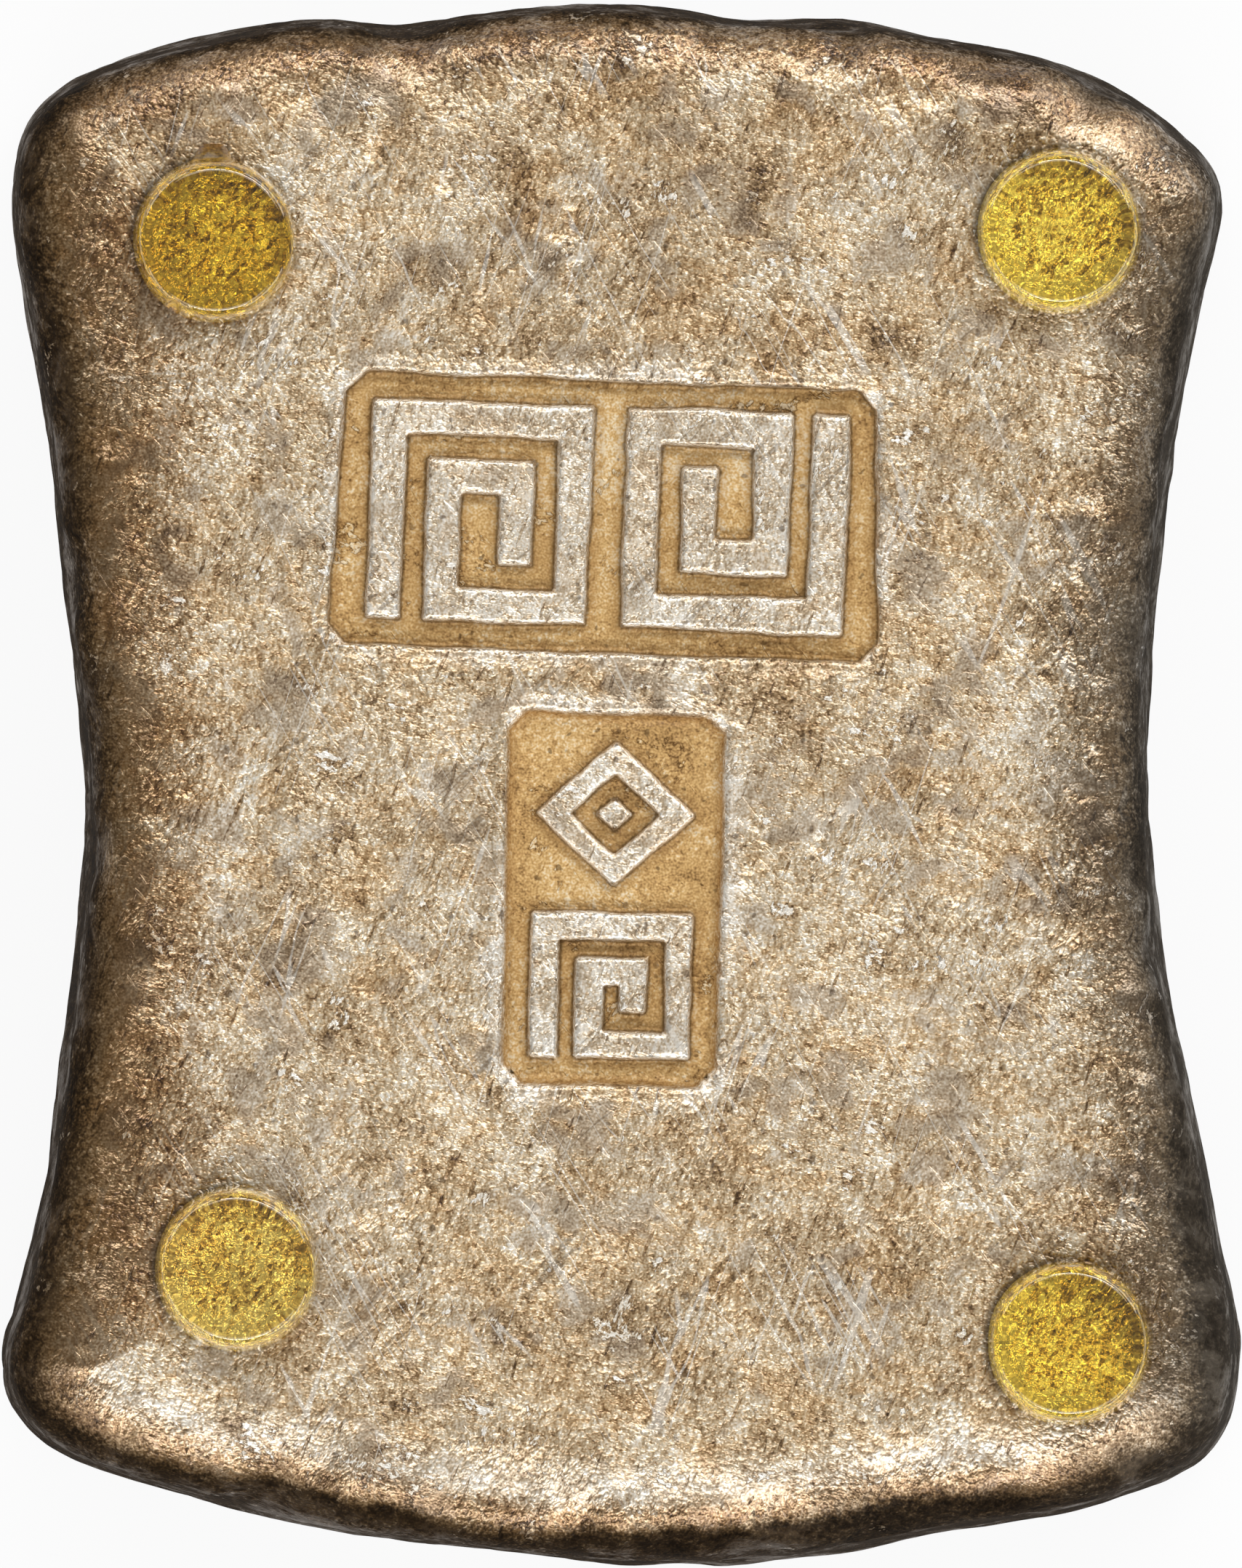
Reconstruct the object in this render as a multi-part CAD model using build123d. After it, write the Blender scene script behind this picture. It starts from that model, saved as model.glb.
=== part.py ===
from build123d import *

import math
import os

# Waisted cast ingot lying with its struck face up, with four clear stick-on pads on that face.
# Millimetres, +Z up. The origin is on the resting face, under the middle of the outline.
# +Y runs along the length, and +X to the right when the struck face is looked at with +Y up.

# Cast body
length = 95.2
width = 75.3
thickness = 29.5
draft_inset = 0.8  # how far the walls lean in from the rim to the shoulder
shoulder_inset = 3.0  # how far the shoulder rolls in over the struck face
shoulder_drop = 3.0  # how far the shoulder rolls down from the struck face
rim_round_width = 1.2  # round of the lower rim, inwards
rim_round_height = 1.6  # round of the lower rim, upwards

# Struck seals
seal_depth = 0.9
seal_corner = 1.2  # chamfer of each seal's corners
wide_seal_width = 32.0  # along its upper edge
wide_seal_flare = 1.4  # extra width along its lower edge
wide_seal_height = 16.5
wide_seal_turn = -2.2  # degrees
wide_seal_margin = 1.6  # struck ground around its raised frets
wide_seal_bar = 2.1  # raised bar of a fret
wide_seal_gap = 1.35  # struck ground between the bars
wide_seal_spacing = 2.0  # struck ground between the two frets
tall_seal_width = 13.3
tall_seal_flare = -0.3
tall_seal_height = 22.7
tall_seal_turn = -1.4  # degrees
tall_seal_margin = 1.8
tall_seal_bar = 1.6
tall_seal_gap = 1.15
tall_seal_spacing = 1.6  # struck ground between the lozenge and the fret
lozenge_ground_share = 0.56  # struck inside of the lozenge, of its size
lozenge_heart_share = 0.24  # raised middle of the lozenge, of its size

# Stick-on pads
pad_diameter = 10.0
pad_top_diameter = 9.1
pad_height = 3.0
pad_edge_radius = 0.5
tab_width = 2.0  # torn moulding tab at the foot of one pad
tab_reach = 0.9  # how far the tab stands out from the pad
tab_thickness = 0.5
tab_turn = 92.0  # degrees
tabbed_pad = "pad_upper_left"

# Places as shares of half the width and half the length
wide_seal_shares = (-0.022, 0.339)
tall_seal_shares = (-0.013, -0.147)
pad_shares = {
    "pad_upper_left": (-0.650, 0.690),
    "pad_upper_right": (0.704, 0.702),
    "pad_lower_left": (-0.615, -0.615),
    "pad_lower_right": (0.720, -0.709),
}

# Rim outline, anticlockwise, as shares of half the width and half the length
right_upper_shares = [(0.852, 0.07), (0.868, 0.28), (0.905, 0.47), (0.955, 0.67)]
upper_right_corner_shares = [(0.969, 0.775), (0.925, 0.823)]
upper_end_shares = [
    (0.818, 0.887),
    (0.660, 0.935),
    (0.465, 0.965),
    (0.335, 0.983),
    (0.230, 0.979),
    (0.100, 0.993),
    (-0.120, 0.996),
    (-0.260, 0.983),
    (-0.360, 0.974),
    (-0.475, 0.981),
    (-0.650, 0.963),
    (-0.830, 0.922),
]
upper_left_corner_shares = [(-0.951, 0.858), (-0.989, 0.765)]
left_side_shares = [
    (-0.975, 0.655),
    (-0.930, 0.450),
    (-0.905, 0.250),
    (-0.867, -0.030),
    (-0.885, -0.240),
    (-0.932, -0.500),
    (-0.980, -0.670),
]
lower_left_corner_shares = [(-1.000, -0.755), (-0.960, -0.825)]
lower_end_shares = [
    (-0.830, -0.880),
    (-0.650, -0.923),
    (-0.450, -0.961),
    (-0.200, -0.986),
    (0.090, -1.000),
    (0.300, -0.989),
    (0.520, -0.957),
    (0.720, -0.934),
]
lower_right_corner_shares = [(0.870, -0.893), (0.967, -0.839), (1.000, -0.755)]
right_lower_shares = [(0.972, -0.590), (0.925, -0.400), (0.875, -0.200)]
rim_shares = (
    right_upper_shares
    + upper_right_corner_shares
    + upper_end_shares
    + upper_left_corner_shares
    + left_side_shares
    + lower_left_corner_shares
    + lower_end_shares
    + lower_right_corner_shares
    + right_lower_shares
)

outline_runs = 8  # curves that the outline is drawn in
shoulder_steps = 6
rim_steps = 3


def on_face(shares):
    """Point on the struck face at the given shares of half the width and half the length."""
    return (shares[0] * width / 2, shares[1] * length / 2)


def section(inset, height):
    """The rim outline drawn in by inset, at the given height."""
    half_width = width / 2 - inset
    half_length = length / 2 - inset
    ring = Spline([(half_width * x, half_length * y) for x, y in rim_shares], periodic=True)
    runs = [ring.trim(run / outline_runs, (run + 1) / outline_runs) for run in range(outline_runs)]
    return Pos(0, 0, height) * make_face(runs)


def quarter_round(start_inset, inset, start_height, rise, steps):
    """Sections of a roll that starts upright and ends flat."""
    rolls = []
    for step in range(steps + 1):
        angle = math.pi / 2 * step / steps
        rolled_in = start_inset + inset * (1 - math.cos(angle))
        rolled_up = start_height + rise * math.sin(angle)
        rolls.append(section(rolled_in, rolled_up))
    return rolls


def cast_body():
    """Rounded rim, leaning walls and rolled shoulder, lofted one above the other."""
    rim = quarter_round(0, rim_round_width, rim_round_height, -rim_round_height, rim_steps)
    shoulder_foot = thickness - shoulder_drop
    shoulder = quarter_round(
        draft_inset, shoulder_inset, shoulder_foot, shoulder_drop, shoulder_steps
    )
    return loft(rim) + loft([rim[0], shoulder[0]], ruled=True) + loft(shoulder)


def bar(start, end, bar_width):
    """Straight bar between two points, squared off half a bar width past each."""
    run = math.dist(start, end)
    angle = math.degrees(math.atan2(end[1] - start[1], end[0] - start[0]))
    middle = Pos((start[0] + end[0]) / 2, (start[1] + end[1]) / 2)
    return middle * Rot(0, 0, angle) * Rectangle(run + bar_width, bar_width)


def key_fret(outer_width, outer_height, bar_width, gap):
    """Square scroll of bars that winds inwards from its lower left corner."""
    right = (outer_width - bar_width) / 2
    top = (outer_height - bar_width) / 2
    inner_right = right - bar_width - gap
    inner_top = top - bar_width - gap
    corners = [
        (-right, -top),
        (-right, top),
        (right, top),
        (right, -top),
        (-inner_right, -top),
        (-inner_right, inner_top),
        (inner_right, inner_top),
        (inner_right, -inner_top),
    ]
    return Sketch() + [bar(*ends, bar_width) for ends in zip(corners, corners[1:])]


def lozenge(outer_width, outer_height):
    """Upright diamond ring with a small diamond at its heart."""
    right = outer_width / 2
    top = outer_height / 2
    diamond = Polygon((right, 0), (0, top), (-right, 0), (0, -top), align=None)
    ring = diamond - scale(diamond, by=lozenge_ground_share)
    return ring + scale(diamond, by=lozenge_heart_share)


def seal_outline(upper_width, flare, height):
    """Four-sided seal with cut corners, widened by flare along its lower edge."""
    upper = upper_width / 2
    lower = (upper_width + flare) / 2
    top = height / 2
    outline = Polygon((upper, top), (-upper, top), (-lower, -top), (lower, -top), align=None)
    return chamfer(outline.vertices(), seal_corner)


def wide_seal_ground():
    """Struck ground of the wide seal, around two key frets turned end for end."""
    fret_width = (wide_seal_width - wide_seal_spacing) / 2 - wide_seal_margin
    fret_height = wide_seal_height - 2 * wide_seal_margin
    reach = (fret_width + wide_seal_spacing) / 2
    fret = key_fret(fret_width, fret_height, wide_seal_bar, wide_seal_gap)
    ground = seal_outline(wide_seal_width, wide_seal_flare, wide_seal_height)
    ground -= Pos(-reach, 0) * fret
    ground -= Pos(reach, 0) * Rot(0, 0, 180) * fret
    return Pos(*on_face(wide_seal_shares)) * Rot(0, 0, wide_seal_turn) * ground


def tall_seal_ground():
    """Struck ground of the tall seal, around a lozenge above a key fret."""
    motif_width = tall_seal_width - 2 * tall_seal_margin
    motif_height = (tall_seal_height - tall_seal_spacing) / 2 - tall_seal_margin
    reach = (motif_height + tall_seal_spacing) / 2
    ground = seal_outline(tall_seal_width, tall_seal_flare, tall_seal_height)
    ground -= Pos(0, reach) * lozenge(motif_width, motif_height)
    ground -= Pos(0, -reach) * key_fret(motif_width, motif_height, tall_seal_bar, tall_seal_gap)
    return Pos(*on_face(tall_seal_shares)) * Rot(0, 0, tall_seal_turn) * ground


def struck_ingot():
    """Cast body with both seals struck into its upper face."""
    ingot = cast_body()
    for ground in (wide_seal_ground(), tall_seal_ground()):
        ingot -= Pos(0, 0, thickness) * extrude(ground, amount=-seal_depth)
    return ingot


def pad(name):
    """Clear pad with leaning sides and a rounded upper edge, standing on the struck face."""
    stands = (Align.CENTER, Align.CENTER, Align.MIN)
    disc = Cone(pad_diameter / 2, pad_top_diameter / 2, pad_height, align=stands)
    disc = fillet(disc.edges().sort_by(Axis.Z)[-1], pad_edge_radius)
    if name == tabbed_pad:
        reach = pad_diameter / 2 + tab_reach
        tab = Box(reach, tab_width, tab_thickness, align=(Align.MIN, Align.CENTER, Align.MIN))
        disc += Rot(0, 0, tab_turn) * tab
    return Pos(*on_face(pad_shares[name]), thickness) * disc


os.makedirs("parts", exist_ok=True)
export_step(struck_ingot(), "parts/ingot.step")
for name in pad_shares:
    export_step(pad(name), f"parts/{name}.step")
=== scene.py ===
"""Looks of a waisted cast ingot, struck face up, with four clear stick-on pads."""

import math
from types import SimpleNamespace

import bpy
import numpy as np
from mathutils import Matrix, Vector, geometry
from mathutils.bvhtree import BVHTree
from mathutils.kdtree import KDTree


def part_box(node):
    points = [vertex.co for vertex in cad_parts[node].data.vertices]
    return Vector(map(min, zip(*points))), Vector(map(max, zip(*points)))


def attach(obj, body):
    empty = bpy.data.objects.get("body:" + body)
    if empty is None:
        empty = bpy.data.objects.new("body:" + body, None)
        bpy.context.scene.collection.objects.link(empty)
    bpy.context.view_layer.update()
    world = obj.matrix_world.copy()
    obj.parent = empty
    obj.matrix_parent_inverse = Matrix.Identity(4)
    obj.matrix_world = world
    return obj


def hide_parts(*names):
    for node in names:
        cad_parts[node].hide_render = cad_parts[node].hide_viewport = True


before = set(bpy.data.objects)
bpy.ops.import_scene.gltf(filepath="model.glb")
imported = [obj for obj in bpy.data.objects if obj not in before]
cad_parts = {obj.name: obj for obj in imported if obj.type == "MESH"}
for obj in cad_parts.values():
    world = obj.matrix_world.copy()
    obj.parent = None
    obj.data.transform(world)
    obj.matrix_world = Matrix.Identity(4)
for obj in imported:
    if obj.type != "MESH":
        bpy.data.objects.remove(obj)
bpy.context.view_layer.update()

# Mesh work is in millimetres. Objects are written in metres.
MM = 0.001
FACE_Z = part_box("ingot")[1].z / MM
PAD_NAMES = ["pad_upper_left", "pad_upper_right", "pad_lower_left", "pad_lower_right"]


# Noise and falloffs for the cast relief

def hashed(corner, seed):
    """One steady value from -1 to 1 for each whole-number corner."""
    mixed = corner[:, 0] * 374761393 + corner[:, 1] * 668265263 + corner[:, 2] * 1274126177
    n = (mixed + seed * 974711).astype(np.int64)
    n = (n ^ (n >> 13)) * 1103515245
    n = (n ^ (n >> 16)) & 0x7FFFFFFF
    return n / 0x3FFFFFFF - 1.0


def lumps(points, size, seed):
    """Smooth random relief from -1 to 1 with lumps about the given size."""
    at = points / size
    base = np.floor(at).astype(np.int64)
    t = at - base
    t = t * t * (3 - 2 * t)
    total = np.zeros(len(points))
    for dx in (0, 1):
        for dy in (0, 1):
            for dz in (0, 1):
                weight = np.abs(1 - dx - t[:, 0]) * np.abs(1 - dy - t[:, 1]) * np.abs(1 - dz - t[:, 2])
                total += weight * hashed(base + np.array([dx, dy, dz]), seed)
    return total


def layered(points, layers):
    """Sum of lumps, from layers that hold an amount, a size and a seed."""
    return sum(amount * lumps(points, size, seed) for amount, size, seed in layers)


def ramp(x, low, high):
    """Smooth step from 0 at low to 1 at high."""
    t = np.clip((x - low) / (high - low), 0.0, 1.0)
    return t * t * (3 - 2 * t)


def bell(x, middle, width):
    """1 at the middle, falling off softly on both sides."""
    return np.exp(-(((x - middle) / width) ** 2))


def mesa(x, width):
    """1 around 0, falling off steeply near the width."""
    return np.exp(-((x / width) ** 4))


def reach_from(plan, place):
    """Distance of each point of a plan from one place."""
    return np.hypot(*(plan - place).T)


# The casting's own skin, read from its solid

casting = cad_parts["ingot"]
casting_points = [v.co for v in casting.data.vertices]
casting_skin = BVHTree.FromPolygons(casting_points, [p.vertices for p in casting.data.polygons])
OUTSIDE = 90.0  # where rays start, clear of the casting


def skin_radius(angle, height):
    """How far the casting reaches from its middle at an angle and a height."""
    way = Vector((math.cos(angle), math.sin(angle), 0.0))
    start = way * OUTSIDE * MM + Vector((0, 0, height * MM))
    hit = casting_skin.ray_cast(start, -way)[0]
    return math.hypot(hit.x, hit.y) / MM


def skin_height(x, y):
    """Height of the casting's upper side at a place."""
    start = Vector((x * MM, y * MM, OUTSIDE * MM))
    return casting_skin.ray_cast(start, Vector((0, 0, -1)))[0].z / MM


# Places of the seals and the pads

# Middle, half width, half height and turn in degrees of each seal
SEALS = [((-0.83, 16.13), 16.4, 8.25, -2.2), ((-0.49, -7.0), 6.65, 11.35, -1.4)]
SEALS_BOX = (-19, 19, -21, 27)  # left, right, lower and upper side of a box around both
STRUCK_WITHIN = 2.0  # the struck ground lies less than this far below the face
FLAT_SLACK = 0.01
UPRIGHT_SLACK = 0.1
CORNER_ROOM = 0.12  # room left at both ends of a wall
PAD_RADIUS = 5.0


def around_seals(plan, margin=0.0):
    """True for places in the box around both seals, widened by a margin."""
    left, right, low, high = SEALS_BOX
    across = (plan[:, 0] > left - margin) & (plan[:, 0] < right + margin)
    return across & (plan[:, 1] > low - margin) & (plan[:, 1] < high + margin)


def within_seals(plan):
    """True for places inside the outline of a seal."""
    inside = np.zeros(len(plan), bool)
    for middle, half_width, half_height, turn in SEALS:
        c, s = math.cos(math.radians(turn)), math.sin(math.radians(turn))
        away = plan - np.array(middle)
        across, along = away @ (c, s), away @ (-s, c)
        inside |= (np.abs(across) < half_width) & (np.abs(along) < half_height)
    return inside


def seal_edges(spacing):
    """Points along the foot of the seals' walls, the way each faces, and the foot's height."""
    points = np.array(casting_points) / MM
    foot = points[around_seals(points) & (points[:, 2] > FACE_Z - STRUCK_WITHIN), 2].min()
    places, ways = [], []
    for wall in casting.data.polygons:
        corners = [casting_points[i] / MM for i in wall.vertices]
        low = [c for c in corners if abs(c.z - foot) < FLAT_SLACK]
        if abs(wall.normal.z) > UPRIGHT_SLACK or len(low) != 2:
            continue
        way = np.array(wall.normal[:2])
        a, b = np.array(low[0][:2]), np.array(low[1][:2])
        run = np.linalg.norm(b - a)
        clear = min(CORNER_ROOM, run / 3)
        for at in np.linspace(clear, run - clear, max(2, int(run / spacing))):
            places.append(a + (b - a) * at / run)
            ways.append(way)
    return np.array(places), np.array(ways), foot


def pad_places():
    """Middle of each pad."""
    places = []
    for name in PAD_NAMES:
        points = np.array([v.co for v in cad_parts[name].data.vertices]) / MM
        top = points[points[:, 2] > points[:, 2].max() - FLAT_SLACK]
        places.append((top[:, :2].min(0) + top[:, :2].max(0)) / 2)
    return np.array(places)


PAD_PLACES = pad_places()


def pad_gaps(plan):
    """Distance from the foot of the nearest pad, less than 0 under it."""
    return np.min([reach_from(plan, p) for p in PAD_PLACES], axis=0) - PAD_RADIUS


def plan_tree(places):
    """Search tree over places on the face."""
    tree = KDTree(len(places))
    for i, p in enumerate(places):
        tree.insert((p[0], p[1], 0.0), i)
    tree.balance()
    return tree


def gaps_to(tree, places):
    """Distance from each place to the nearest one in the tree."""
    return np.array([tree.find((p[0], p[1], 0.0))[2] for p in places])


# Ingot: one closed mesh, fine over the struck face, coarser down the walls

RING_STATIONS = 760
RING_SURVEY = 2400  # rays from which the stations are spaced
# How far below the face each ring round the casting lies
RING_DROPS = [
    0.02, 0.10, 0.24, 0.44, 0.70, 1.02, 1.40, 1.85, 2.35, 2.95, 3.8, 5.2, 7.2, 9.4, 11.6, 13.8, 16.0, 18.2,
    20.4, 22.6, 24.6, 26.2, 27.3, 28.0, 28.5, 28.9, 29.2, 29.42,
]
FACE_BOX = (-40, 40, -50, 50)
FACE_GRAIN = 0.36  # spacing of points over the face
SEAL_GRAIN = 0.28  # the same beside the seals' walls
SEAL_GRAIN_REACH = 1.3
WALL_ROOM = 0.24  # room for a wall's own rows of points
RING_ROOM = 0.3  # room inside the edge of the face
SUNK = 0.4  # what lies deeper below the face is struck ground
FAR = 9.0  # gap given to places that are nowhere near a wall
INSIDE_ONLY = 1
MERGE_WITHIN = 1e-7

EDGE_SPACING = 0.2
EDGE_WANDER = [(0.08, 1.6, 11), (0.09, 5.0, 12)]
WALL_LEAN = 0.09
# The tall seal was struck with a worn die: its outer wall slopes in, with a bend on the way
SOFT_WALL = 0.55
SOFT_WANDER = [(0.12, 4.0, 13)]
SOFT_ROOM = 0.28
SOFT_BEND = 0.22
SOFT_BEND_RISE = 0.36  # share of the wall's height
SOFT_BELOW = 6.0  # upper limit of the tall seal
OUTWARD_STEP = 0.8  # a step back from an outer wall that leads out of the seal


def ring_angles():
    """Angles round the casting, evenly spaced along the edge of its face."""
    fine = np.linspace(-math.pi, math.pi, RING_SURVEY, endpoint=False)
    reach = np.array([skin_radius(a, FACE_Z - RING_DROPS[0]) for a in fine])
    x, y = reach * np.cos(fine), reach * np.sin(fine)
    steps = np.hypot(np.diff(np.append(x, x[0])), np.diff(np.append(y, y[0])))
    run = np.insert(np.cumsum(steps), 0, 0.0)
    want = np.linspace(0, run[-1], RING_STATIONS, endpoint=False)
    return np.interp(want, run, np.append(fine, math.pi))


def hex_points(x0, x1, y0, y1, spacing):
    """Points of an even triangular grid over a box."""
    rows = []
    for i, y in enumerate(np.arange(y0, y1, spacing * math.sqrt(3) / 2)):
        x = np.arange(x0 + (i % 2) * spacing / 2, x1, spacing)
        rows.append(np.c_[x, np.full(len(x), y)])
    return np.vstack(rows)


def wall_rows():
    """Points down the seals' walls, with a tree over all the walls and one over the soft ones."""
    edge, way, foot = seal_edges(EDGE_SPACING)
    soft = ~within_seals(edge - way * OUTWARD_STEP) & (edge[:, 1] < SOFT_BELOW)
    flat = np.c_[edge, np.zeros(len(edge))]
    edge = edge + way * layered(flat, EDGE_WANDER)[:, None]
    reach = np.where(soft, SOFT_WALL + layered(flat, SOFT_WANDER), WALL_LEAN)
    bend = foot + SOFT_BEND_RISE * (FACE_Z - foot)
    low_row = np.c_[edge + way * reach[:, None], np.full(len(edge), foot)]
    high_row = np.c_[edge - way * WALL_LEAN, np.full(len(edge), FACE_Z)]
    half_row = np.c_[(edge + way * SOFT_BEND)[soft], np.full(soft.sum(), bend)]
    return np.vstack([low_row, high_row, half_row]), plan_tree(edge), plan_tree(edge[soft])


def face_points(angles, face_reach, wall_tree, soft_tree):
    """Points over the face and the struck ground, closer together beside the seals' walls."""
    coarse = hex_points(*FACE_BOX, FACE_GRAIN)
    angle = np.arctan2(coarse[:, 1], coarse[:, 0])
    edge = np.interp(angle, angles, face_reach, period=2 * math.pi)
    coarse = coarse[np.hypot(coarse[:, 0], coarse[:, 1]) < edge - RING_ROOM]
    near = around_seals(coarse)
    gap = np.full(len(coarse), FAR)
    gap[near] = gaps_to(wall_tree, coarse[near])
    coarse = coarse[gap > SEAL_GRAIN_REACH]
    fine = hex_points(*SEALS_BOX, SEAL_GRAIN)
    gap = gaps_to(wall_tree, fine)
    fine = fine[(gap > WALL_ROOM) & (gap < SEAL_GRAIN_REACH)]
    spread = np.vstack([coarse, fine])
    heights = np.array([skin_height(x, y) for x, y in spread])
    by_soft_wall = gaps_to(soft_tree, spread) < SOFT_WALL + SOFT_ROOM
    return np.c_[spread, heights][~((heights < FACE_Z - SUNK) & by_soft_wall)]


def make_ingot():
    """Points and faces of the ingot before its relief, and a tree over the seals' walls."""
    angles = ring_angles()
    rings = []
    for drop in RING_DROPS:
        reach = np.array([skin_radius(a, FACE_Z - drop) for a in angles])
        height = np.full(len(angles), FACE_Z - drop)
        rings.append(np.c_[reach * np.cos(angles), reach * np.sin(angles), height])
    rings[-1][:, 2] = 0.0
    walls, wall_tree, soft_tree = wall_rows()
    face_reach = np.hypot(rings[0][:, 0], rings[0][:, 1])
    face = np.vstack([face_points(angles, face_reach, wall_tree, soft_tree), walls])

    stations = len(angles)
    plan = [Vector(p) for p in np.vstack([rings[0][:, :2], face[:, :2]])]
    outline = [list(range(stations))]
    found = geometry.delaunay_2d_cdt(plan, [], outline, INSIDE_ONLY, MERGE_WITHIN)
    source = [ids[0] for ids in found[3]]
    faces = [[source[i] for i in triangle] for triangle in found[2]]

    points = np.vstack([rings[0], face] + rings[1:])
    starts = [0] + [stations + len(face) + k * stations for k in range(len(rings) - 1)]
    for a, b in zip(starts, starts[1:]):
        for i in range(stations):
            j = (i + 1) % stations
            faces.append([a + i, b + i, b + j, a + j])
    faces.append([starts[-1] + i for i in range(stations - 1, -1, -1)])
    return points, faces, wall_tree


def mesh_object(name, points, faces):
    """Smooth-shaded object from points in millimetres."""
    mesh = bpy.data.meshes.new(name)
    mesh.from_pydata([tuple(p * MM) for p in points], [], faces)
    mesh.update()
    made = bpy.data.objects.new(name, mesh)
    bpy.context.scene.collection.objects.link(made)
    mesh.polygons.foreach_set("use_smooth", [True] * len(mesh.polygons))
    return made


# Survey of the ingot's points, for its relief and its finish

RIM_SURVEY = 1440
RIM_HEIGHT = 1.7  # the casting is widest here
RAGGED = [(0.5, 5.0, 9), (0.25, 1.8, 10)]
HILLS = [(0.075, 3.1, 3), (0.045, 1.6, 4), (0.03, 0.9, 5)]
OPEN_INSET = 4.5  # pits, blisters and spots keep this far from the rim
OPEN_PAD_GAP = 1.0


def rim_insets(plan):
    """Distance in from the rim, and the way that the rim faces, at each place."""
    angles = np.linspace(-math.pi, math.pi, RIM_SURVEY, endpoint=False)
    reach = np.array([skin_radius(a, RIM_HEIGHT) for a in angles])
    rim = np.c_[reach * np.cos(angles), reach * np.sin(angles)]
    along = np.roll(rim, -1, axis=0) - np.roll(rim, 1, axis=0)
    facing = np.c_[along[:, 1], -along[:, 0]] / np.linalg.norm(along, axis=1)[:, None]
    tree = plan_tree(rim)
    found = [tree.find((p[0], p[1], 0.0)) for p in plan]
    return np.array([f[2] for f in found]), facing[[f[1] for f in found]]


def survey(points, wall_tree):
    """What the relief and the finish need to know about each point."""
    at = SimpleNamespace(points=points, plan=points[:, :2], drop=FACE_Z - points[:, 2])
    at.inset, facing = rim_insets(at.plan)
    at.left, at.right = np.maximum(0, -facing[:, 0]), np.maximum(0, facing[:, 0])
    at.lower, at.upper = np.maximum(0, -facing[:, 1]), np.maximum(0, facing[:, 1])
    at.ragged = at.inset + layered(points, RAGGED)
    at.near = around_seals(at.plan, 1.0) & (at.drop < STRUCK_WITHIN)
    at.gap = np.full(len(points), FAR)
    at.gap[at.near] = gaps_to(wall_tree, at.plan[at.near])
    at.ground = at.near & (at.drop > SUNK)
    at.raised = at.near & within_seals(at.plan) & ~at.ground
    at.face = (at.drop < FLAT_SLACK) & ~at.raised
    at.pad_gap = pad_gaps(at.plan)
    at.clear_of_pads = ramp(at.pad_gap, -0.5, 2.5)
    at.open_face = at.plan[at.face & (at.pad_gap > OPEN_PAD_GAP) & (at.inset > OPEN_INSET)]
    at.hills = layered(points, HILLS)
    return at


def scattered(count, seed, places):
    """Seeded choice of places, each with a size from 0 to 1."""
    draw = np.random.default_rng(seed)
    return zip(places[draw.choice(len(places), count, replace=False)], draw.random(count))


def line_gaps(plan, start, end):
    """Distance from each place to a straight run."""
    start, run = np.array(start), np.array(end) - np.array(start)
    along = np.clip((plan - start) @ run / (run @ run), 0.0, 1.0)
    return np.hypot(*(plan - start - along[:, None] * run).T)


# Relief on the ingot

SWELLS = [(0.11, 14.0, 1), (0.06, 6.0, 2)]
WORN_ABOVE = 0.045  # hills are rubbed down above this
WORN_LEFT = 0.25  # share of a hill's top that is left
SIDE_LUMPS = [(0.22, 8.0, 6), (0.10, 3.4, 7), (0.05, 1.5, 8)]
SIDE_DROPS = (1.0, 5.0)  # drop over which they set in
SHOULDER_LUMPS = [(0.20, 5.5, 21), (0.20, 2.6, 22), (0.13, 1.3, 23), (0.05, 0.8, 24)]
SHOULDER_OUTER = (0.3, 1.5)  # inset over which they set in
SHOULDER_INNER = (4.0, 8.5)  # inset over which they fade out
LIP_HEIGHT, LIP_AWAY, LIP_WIDTH = 0.13, 0.3, 0.5  # metal pushed up around the seals
RAISED_SHARE, RAISED_SINK = 0.5, 0.04
GROUND_SHARE = 0.35
UNDER_PAD_SHARE = 0.25
# Count and seed, then the least and the extra of depth and of radius
PITS = (150, 3, (0.08, 0.14), (0.22, 0.40))
BLISTERS = (80, 4, (0.05, 0.09), (0.35, 0.60))
KNOCK_DROPS = (-9.0, -3.0)  # height above which the knocks set in, from the face
# Depth and inset over which the shoulder falls away at each end
UPPER_FALL = (0.18, 2.2, 6.4)
LOWER_FALL = (0.58, 2.8, 7.6)
FALL_ABOVE = 3.0
REST_BAND = 0.2  # points this low stay where they are
# Start, end, width and depth of gouges in the face
GOUGES = [
    ((-15.7, -9.4), (-13.4, -17.8), 0.45, 0.07),
    ((-17.6, 8.6), (-10.5, 2.6), 0.4, 0.05),
    ((-16.2, 8.0), (-8.6, 1.2), 0.4, 0.05),
    ((23.2, -12.2), (23.5, -16.2), 0.4, 0.08),
    ((23.9, -12.8), (24.1, -16.6), 0.4, 0.07),
    ((24.6, -11.8), (24.9, -15.0), 0.4, 0.06),
    ((-9.6, -18.6), (-3.8, -26.0), 0.45, 0.06),
    ((6.5, -18.0), (11.5, -27.0), 0.4, 0.04),
    ((10.5, -0.8), (13.8, -7.5), 0.35, 0.05),
]
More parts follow.
